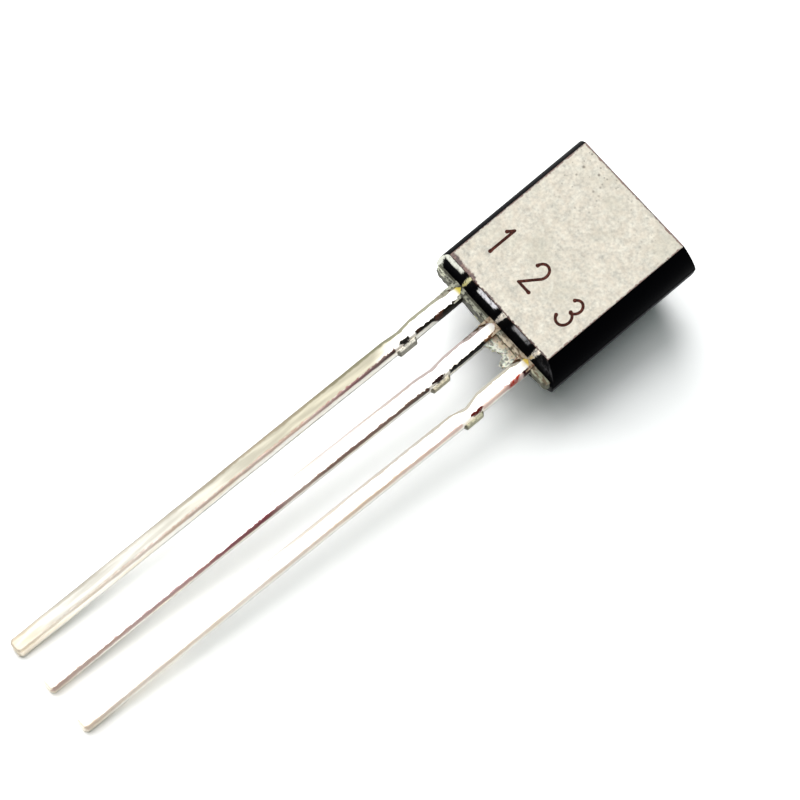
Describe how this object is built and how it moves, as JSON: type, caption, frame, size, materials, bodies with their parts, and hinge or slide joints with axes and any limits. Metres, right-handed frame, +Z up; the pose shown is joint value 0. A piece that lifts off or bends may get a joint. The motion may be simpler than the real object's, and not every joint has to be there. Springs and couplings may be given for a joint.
{
  "type": "transistor",
  "caption": "Transistor in a small D-shaped moulded case with a flat front and long straight through-hole leads, lying face up as it rests on a table.",
  "frame": {"origin": "on the table, under the middle of the whole part's bounding box, with the part lying at rest on its lead tips and its round back", "axes": "+X from the first lead to the third, -Y along the leads towards their tips, +Z up, out of the flat face to within 7.7 degrees"},
  "size_m": [0.0044, 0.0192, 0.0039],
  "materials": {
    "moulding": "black silica-filled epoxy, semi-gloss on the round back, frosted pale grey on the flat face",
    "tinned_lead": "satin tin plating over the lead sheet",
    "silicon": "polished",
    "solder": "dull solder",
    "bond_wire": "polished gold wire"
  },
  "bodies": {
    "root": {"moulded_case": "moulding", "emitter_lead": "tinned_lead", "base_lead": "tinned_lead", "collector_lead": "tinned_lead", "silicon_chip": "silicon", "chip_solder": "solder", "emitter_wire": "bond_wire", "base_wire": "bond_wire"}
  },
  "joints": []
}
